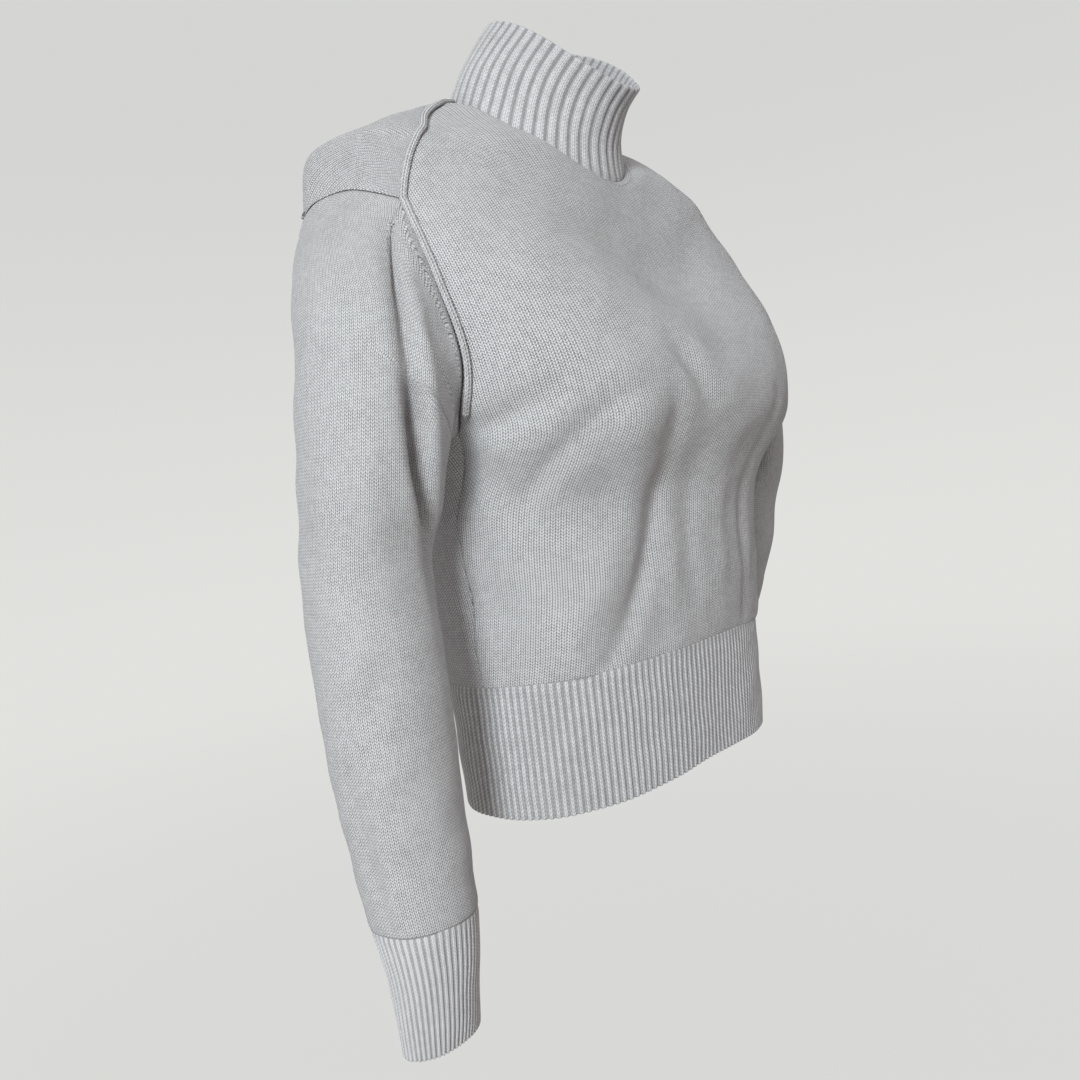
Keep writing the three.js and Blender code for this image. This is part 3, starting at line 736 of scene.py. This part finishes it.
# The shares of both ways at each place, evened out over its neighbours with a bell of weights so
# that lines leaving a corner don't cross.
def leaving(out, along, angles):
    alongShare, outShare = rowAt(sleeveStart["shares"], 1 - np.cos(angles))
    ways = unit(along * alongShare[:, None] + out * outShare[:, None])
    apart = (angles[:, None] - angles[None, :] + np.pi) % (2 * np.pi) - np.pi
    return unit(np.exp(-((apart / sleeveStart["evenOver"]) ** 2)) @ ways)


# Places in the knitting, in mm: across from the sleeve's top line, and up from its cuff end. At
# the front the wales keep to the arm's own direction up to the armhole: above the first section
# only the part of each step across or along that direction counts there.
def armStitches(points, angles, loftRows):
    out = gridOut(points, True)
    points, out = (np.concatenate([grid, grid[:, :1]], axis=1) for grid in (points, out))
    atFront = smooth(-2 * np.sin(np.append(angles, angles[0])))
    axis = unit(points[loftRows].mean(axis=0) - points[loftRows + armSteps["axis"]].mean(axis=0))
    wayUp = unit(axis - out * (out @ axis)[..., None])
    wayAcross = np.cross(out, wayUp)
    stepAcross, stepUp = np.diff(points, axis=1), points[:-1] - points[1:]
    across, up = np.linalg.norm(stepAcross, axis=-1), np.linalg.norm(stepUp, axis=-1)
    partAcross = np.sum(stepAcross * (wayAcross[:, 1:] + wayAcross[:, :-1]) / 2, -1)
    partAcross = partAcross * np.sign(partAcross[loftRows].sum())
    partUp = np.sum(stepUp * (wayUp[1:] + wayUp[:-1]) / 2, -1)
    between = (atFront[1:] + atFront[:-1]) / 2
    across[:loftRows] += between * (partAcross - across)[:loftRows]
    up[:loftRows] += atFront * (partUp - up)[:loftRows]
    across = np.insert(np.cumsum(across, axis=1), 0, 0, axis=1)
    up = np.append(np.cumsum(up[::-1], axis=0)[::-1], np.zeros((1, points.shape[1])), axis=0)
    top = len(angles) // 2
    return np.stack([across - across[:, top:top + 1], up], -1)


# Grid of a sleeve as on the wearer's right: a cubic from the armhole to the first section, then
# the sections. The left one is worked out from the left armhole and turned over afterwards.
def makeArm(table, sideways, seed):
    look = sleeveStart
    start, out, along, angles = armholeRing(sideways)
    end = armPoint(table, angles, 0.0)
    small = 0.01  # a level's share
    startWay, endWay = leaving(out, along, angles), unit(armPoint(table, angles, small) - end)
    length = np.linalg.norm(end - start, axis=-1)[:, None]
    t = np.linspace(0, 1, armSteps["loft"] + 1)[:-1, None, None]
    loft = (
        (2 * t**3 - 3 * t**2 + 1) * start
        + (t**3 - 2 * t**2 + t) * startWay * length * look["startPull"]
        + (3 * t**2 - 2 * t**3) * end
        + (t**3 - t**2) * endWay * length * look["endPull"]
    )
    levels = np.linspace(0, len(table) - 1, armSteps["sleeve"] + 1)
    sections = armPoint(table, angles[None, :], levels[:, None])
    points = np.concatenate([loft, sections])
    levels = np.concatenate([t[:, 0, 0] - 1, levels])
    turned = angles[None, :] + look["foldsTurn"][sideways]
    folds = foldHeight(sleeveFolds, sleeveScale, turned, levels[:, None])
    down = runLength(points, 0)
    fade = 1 - np.exp(-((down / look["foldsFade"]) ** 2))
    height = folds * fade + groove(down) + groove(down[-1] - down) + waviness(points, seed) * fade
    points = points + gridOut(points, True) * height[..., None]
    # columns now start under the arm, where the stitch pattern may break
    order = np.roll(np.arange(len(angles)), -seamSteps["back"])
    points, down, angles = points[:, order], down[:, order], angles[order]
    closed = np.concatenate([down, down[:, :1]], axis=1)
    uv = armStitches(points, angles, armSteps["loft"])
    facing = np.append(np.sin(angles) ** 2 * (np.sin(angles) < 0), 0)  # 1 at the armhole's front
    armholeRun = np.linspace(0, look["edgeLength"], len(facing))
    fromEdge = closed + look["backEdge"] * (1 - facing)
    edge = np.stack(np.broadcast_arrays(fromEdge, armholeRun[None, :]), -1)
    # painted shade in the sleeve's deep troughs, growing with their depth
    trough = look["troughPaintedShade"] * smooth(-(folds * fade)[:, order] / look["troughDepth"])
    dip = seamShade(down) + seamShade(down[-1] - down) + trough
    return points, uv, edge, dip


for sideways, word, seed in ((1, "right", 5), (-1, "left", 6)):
    points, uv, edge, dip = makeArm(armSections[word], sideways, seed)
    if sideways < 0:
        points = points * np.array([-1, 1, 1])
        points, uv, edge, dip = (grid[:, ::-1] for grid in (points, uv, edge, dip))
    arm = makeMesh(f"sweater_sleeve_{word}", points, closeColumns=True, uv=uv, edge=edge, dip=dip)
    finish(arm, [f"sleeve_{word}"], sleeveKnit, cloth["wall"])

# How many ribs there are, the columns and rows of the mesh, how far the ribs stand out in mm, the
# share of each that is plain knit, and the wales in that share.
ribs = {
    "neck": {"count": 46, "columns": 8, "rows": 46, "relief": 1.6, "knit": 0.71, "knitWales": 2},
    "hem": {"count": 148, "columns": 6, "rows": 34, "relief": 1.9, "knit": 0.60, "knitWales": 1},
    "cuff": {"count": 48, "columns": 8, "rows": 38, "relief": 1.1, "knit": 0.66, "knitWales": 1},
}
# The level of a rib's surface and the width of its furrow are shares, of the relief and of the
# purl part. Beside the seam the ribs are flatter, over a distance in mm. The furrows get painted
# shade, up to the share given as dark.
ribForm = {
    "level": 0.35, "furrow": 0.62, "flatter": 0.75, "flatterOver": 5, "waves": 0.6,
    "innerExtra": 0.5, "innerRelief": 0.4, "dark": 0.9, "innerGap": 2, "ringSteps": 1440,
}


# Angles at even distances round a ring.
def evenAngles(point, level, count, start):
    dense = np.linspace(start, start + 2 * np.pi, ribForm["ringSteps"] + 1)
    run = runLength(point(dense, level)[None], 1)[0]
    return np.interp(np.linspace(0, run[-1], count + 1)[:-1], run, dense)


# Flat-topped ribs with a narrow furrow between them: the furrow is a bell about the middle of the
# purl part.
def ribHeight(phase, knit, relief):
    away = (phase - (knit + (1 - knit) / 2) + 0.5) % 1 - 0.5
    width = ribForm["furrow"] * (1 - knit)
    return relief * (ribForm["level"] - np.exp(-((away / width) ** 2)))


# A closed round wall with ribs: outer rows from the top down, round edges, inner rows back up.
def makeRib(name, point, lastLevel, kind, seed, seamTop, turnOver=False):
    size, stitch, form = ribs[kind], stitchSizes[kind], ribForm
    columns = size["count"] * size["columns"]
    levels = np.linspace(0, lastLevel, size["rows"] + 1)
    angles = np.array([evenAngles(point, level, columns, np.pi) for level in levels])
    points = point(angles, levels[:, None])
    out = outward(point, angles, levels[:, None])
    phase = (np.arange(columns) / size["columns"]) % 1
    down = runLength(points, 0)
    fromSeam = down if seamTop else down[-1] - down
    ease = 1 - form["flatter"] * np.exp(-((fromSeam / form["flatterOver"]) ** 2))
    relief = ribHeight(phase, size["knit"], size["relief"])[None, :] * ease
    lifted = relief + groove(fromSeam) + form["waves"] * waviness(points, seed) * ease
    sunk = cloth["wall"] + form["innerExtra"] - form["innerRelief"] * relief
    wall = tubeWall(points + out * lifted[..., None], points - out * sunk[..., None])
    # painted shade in the furrows between ribs, darkest where the rib surface is lowest
    furrow = form["dark"] * np.clip(form["level"] - ribHeight(phase, size["knit"], 1.0), 0, 1)
    dip = np.broadcast_to(furrow, wall.shape[:2])
    wales = size["knitWales"]
    whole = np.arange(columns + 1) // size["columns"]
    part = (np.arange(columns + 1) % size["columns"]) / size["columns"]
    knitPart = np.interp(part, (0, size["knit"], 1), (0, wales, 2 * wales))
    around = (whole * 2 * wales + knitPart) * stitch["wale"]
    along = runLength(wall, 0).mean(axis=1)
    along = -np.append(along, along[-1] + form["innerGap"])
    uv = np.stack(np.broadcast_arrays(around[None, :], along[:, None]), -1)
    if turnOver:
        wall, uv, dip = (wall * np.array([-1, 1, 1]))[:, ::-1], uv[:, ::-1], dip[:, ::-1]
    return makeMesh(name, wall, closeRows=True, closeColumns=True, uv=uv, dip=dip)


neckPiece = makeRib("sweater_mock_neck", neckPoint, 3, "neck", 7, seamTop=False)
finish(neckPiece, ["neck_rib"], neckKnit)
hemPiece = makeRib("sweater_hem_rib", hemPoint, 1, "hem", 8, seamTop=True)
finish(hemPiece, ["hem_rib"], hemKnit)
for word, turnOver, seed in (("right", False, 9), ("left", True, 10)):
    def cuffPoint(angle, level):
        return armPoint(cuffSections[word], angle, level)

    cuff = makeRib(f"sweater_cuff_{word}", cuffPoint, 2, "cuff", seed, True, turnOver)
    finish(cuff, [f"cuff_{word}"], cuffKnit)

# Half sizes, the gap to the cloth, the furrow's depth, and where the cord starts and ends along
# its line are in mm. "hidden" is how many steps of the armhole seam stay bare at its foot, and
# the cord changes over from the armhole to the shoulder seam in the steps of "change".
ridge = {
    "halfWidth": 2.7, "halfHeight": 1.8, "clear": 0.3, "sink": 0.6, "from": 0.5, "short": 1.2,
    "rows": 700, "around": 20, "hidden": 6, "change": 18, "steepest": 0.35, "outShare": 0.05,
    "braid": 0.3, "braidWidth": 0.22, "swell": 0.10, "swellLean": 2.4,
    "taperOver": 2.5, "tip": 0.05, "blunt": 0.6, "wales": 4,
}


# A flattened cord along the shoulder seam and front armhole that rests on the cloth at both sides.
# Its section is an oval with a furrow along its top, and it swells at each stitch.
def makeRidge(name, sideways):
    level, angle = np.concatenate([front[:, ridge["hidden"]:], shoulder[:, 1:]], axis=1)
    points, out, along = withSideways(level, angle * sideways)
    flip = np.array([sideways, 1, 1])
    points, out, along = points * flip, out * flip, along * flip * sideways
    _, ringOut, ringAlong, ringAngles = armholeRing(sideways)
    ringWay = leaving(ringOut, ringAlong, ringAngles)
    ringWay = np.roll(ringWay, -(seamSteps["back"] + ridge["hidden"]), 0)
    onArmhole = seamSteps["front"] - ridge["hidden"]
    farWay = along.copy()
    farWay[:onArmhole] = ringWay[:onArmhole]
    steps = np.arange(len(level)) - onArmhole
    blend = np.clip((steps + ridge["change"] / 2) / ridge["change"], 0, 1)[:, None]
    farWay = unit((1 - blend) * farWay + blend * along)
    up = unit(farWay - along + out * ridge["outShare"])
    lean = np.sum(up * farWay, axis=1)
    slope = np.maximum(np.sqrt(np.maximum(1 - lean**2, 0)), ridge["steepest"])
    rest = np.hypot(ridge["halfWidth"] * lean, ridge["halfHeight"] * slope)
    lifted = (rest + ridge["clear"]) / slope - cloth["groove"] * ridge["sink"]
    centre = points + up * lifted[:, None]
    run = runLength(centre[None], 1)[0]
    even = np.linspace(ridge["from"], run[-1] - ridge["short"], ridge["rows"])
    centre, up = (
        np.stack([np.interp(even, run, line[:, k]) for k in range(3)], -1) for line in (centre, up))
    tangent = unit(np.gradient(centre, axis=0))
    across = unit(np.cross(tangent, up))
    up = unit(np.cross(across, tangent))
    turn = np.linspace(0, 2 * np.pi, ridge["around"] + 1)[:-1][None, :]
    beat = 2 * np.pi * even[:, None] / stitchSizes["ridge"]["course"]
    swell = 1 + ridge["swell"] * np.cos(beat - np.abs(np.cos(turn)) * ridge["swellLean"])
    fromTip = np.minimum(even, even[-1] - even + ridge["blunt"]) / ridge["taperOver"]
    taper = np.clip(fromTip, ridge["tip"], 1)[:, None] ** 0.5
    x = ridge["halfWidth"] * np.cos(turn) * swell * taper
    y = ridge["halfHeight"] * np.sin(turn) * swell * taper
    furrow = np.exp(-((np.cos(turn) / ridge["braidWidth"]) ** 2)) * (np.sin(turn) > 0)
    y = y - ridge["braid"] * furrow * taper
    wall = centre[:, None] + across[:, None] * x[..., None] + up[:, None] * y[..., None]
    uvAround = np.linspace(0, ridge["wales"], ridge["around"] + 1) * stitchSizes["ridge"]["wale"]
    uv = np.stack(np.broadcast_arrays(uvAround[None, :], even[:, None]), -1)
    wall, uv = wall[::-1], uv[::-1]
    if sideways < 0:
        wall, uv = (wall * np.array([-1, 1, 1]))[:, ::-1], uv[:, ::-1]
    return makeMesh(name, wall, closeColumns=True, uv=uv)


raised = []
for sideways, word in ((1, "right"), (-1, "left")):
    raised.append(makeRidge(f"sweater_ridge_{word}", sideways))
    finish(raised[-1], [f"seam_ridge_{word}"], ridgeKnit)

makeCamera(camera)
makeLamps(studio["lamps"], studio["aim"])
makeSky(studio["sky"])
makeBackdrop(backdropLook)
print("studio lit")
